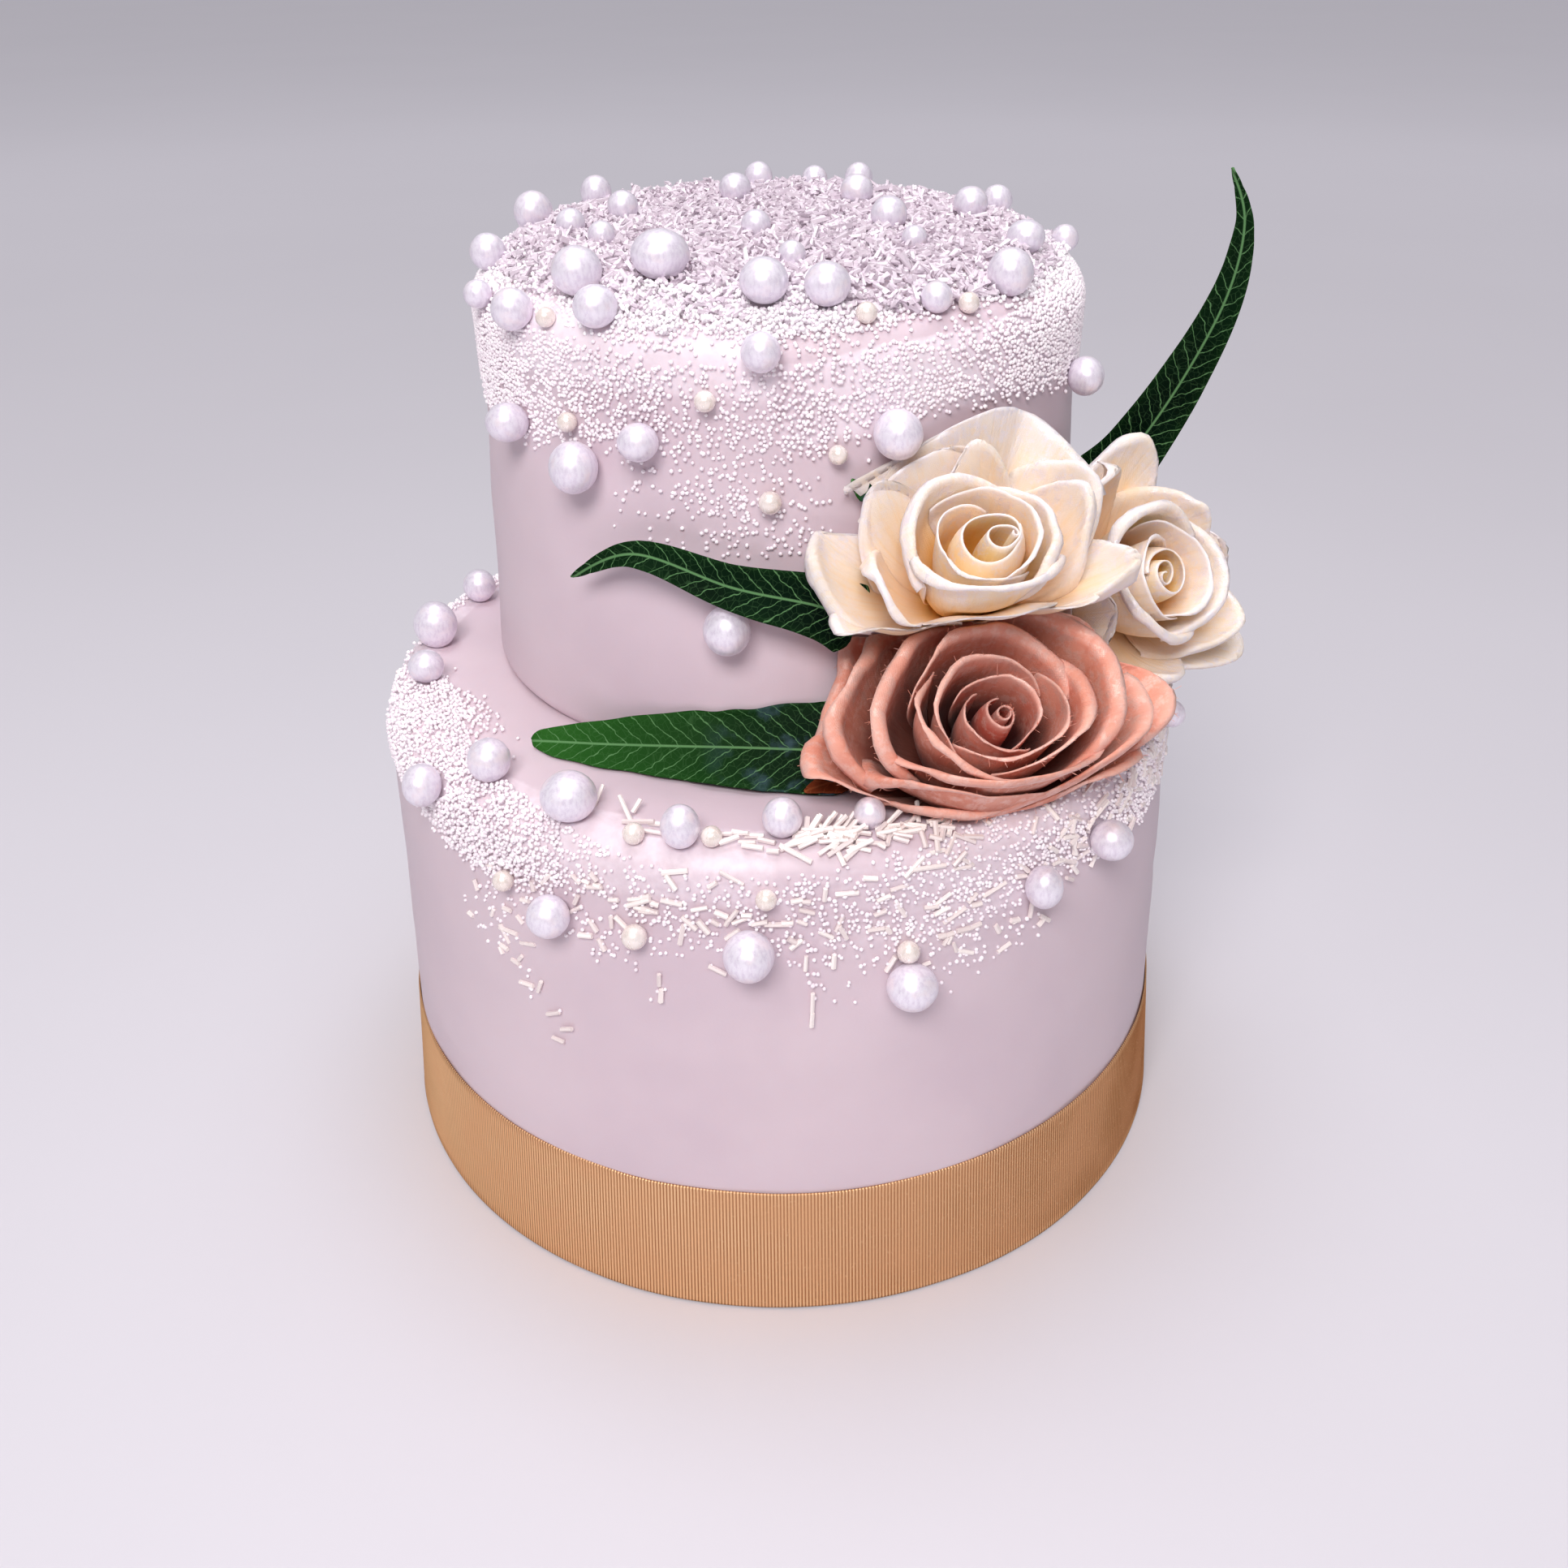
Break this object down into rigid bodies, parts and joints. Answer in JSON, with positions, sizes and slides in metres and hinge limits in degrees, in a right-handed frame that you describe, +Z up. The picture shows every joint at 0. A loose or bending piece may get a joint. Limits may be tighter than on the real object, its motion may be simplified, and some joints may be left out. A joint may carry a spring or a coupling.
{
  "type": "two-tier cake",
  "caption": "Round two-tier cake in smooth pale icing, with large sugar pearls, sugar strands, fabric roses and leaves on one side and a gold ribbon round its foot.",
  "frame": {"origin": "centre of the lower tier's underside, on the surface that the cake stands on", "axes": "+Z up, -Y towards the decorated front, +X towards the side with the tall leaf"},
  "size_m": [0.2186, 0.2172, 0.2502],
  "materials": {
    "icing": "smooth rolled icing, satin",
    "pearl_sugar": "pearl lustre dust on sugar",
    "gold_ribbon": "ribbed satin weave",
    "cream_petal": "soft woven petals, faint pearl dust",
    "dusty_petal": "soft woven petals with frayed edges",
    "leaf_green": "printed woven leaf, semi-matt",
    "sepal_brown": "matt woven sepal"
  },
  "bodies": {
    "root": {"leaf_lower": "leaf_green", "leaf_small": "leaf_green", "leaf_tall": "leaf_green", "leaf_upper": "leaf_green", "lower_tier": "icing", "pearl_lower_01": "pearl_sugar", "pearl_lower_02": "pearl_sugar", "pearl_lower_03": "pearl_sugar", "pearl_lower_04": "pearl_sugar", "pearl_lower_05": "pearl_sugar", "pearl_lower_06": "pearl_sugar", "pearl_lower_07": "pearl_sugar", "pearl_lower_08": "pearl_sugar", "pearl_lower_09": "pearl_sugar", "pearl_lower_10": "pearl_sugar", "pearl_lower_11": "pearl_sugar", "pearl_lower_12": "pearl_sugar", "pearl_lower_13": "pearl_sugar", "pearl_lower_14": "pearl_sugar", "pearl_lower_15": "pearl_sugar", "pearl_lower_16": "pearl_sugar", "pearl_lower_17": "pearl_sugar", "pearl_upper_01": "pearl_sugar", "pearl_upper_02": "pearl_sugar", "pearl_upper_03": "pearl_sugar", "pearl_upper_04": "pearl_sugar", "pearl_upper_05": "pearl_sugar", "pearl_upper_06": "pearl_sugar", "pearl_upper_07": "pearl_sugar", "pearl_upper_08": "pearl_sugar", "pearl_upper_09": "pearl_sugar", "pearl_upper_10": "pearl_sugar", "pearl_upper_11": "pearl_sugar", "pearl_upper_12": "pearl_sugar", "pearl_upper_13": "pearl_sugar", "pearl_upper_14": "pearl_sugar", "pearl_upper_15": "pearl_sugar", "pearl_upper_16": "pearl_sugar", "pearl_upper_17": "pearl_sugar", "pearl_upper_18": "pearl_sugar", "pearl_upper_19": "pearl_sugar", "pearl_upper_20": "pearl_sugar", "pearl_upper_21": "pearl_sugar", "pearl_upper_22": "pearl_sugar", "pearl_upper_23": "pearl_sugar", "pearl_upper_24": "pearl_sugar", "pearl_upper_25": "pearl_sugar", "pearl_upper_26": "pearl_sugar", "pearl_upper_27": "pearl_sugar", "pearl_upper_28": "pearl_sugar", "pearl_upper_29": "pearl_sugar", "pearl_upper_30": "pearl_sugar", "ribbon": "gold_ribbon", "rose_cream_front": "cream_petal", "rose_cream_side": "cream_petal", "rose_dusty": "dusty_petal", "sepal_brown": "sepal_brown", "upper_tier": "icing"}
  },
  "joints": []
}
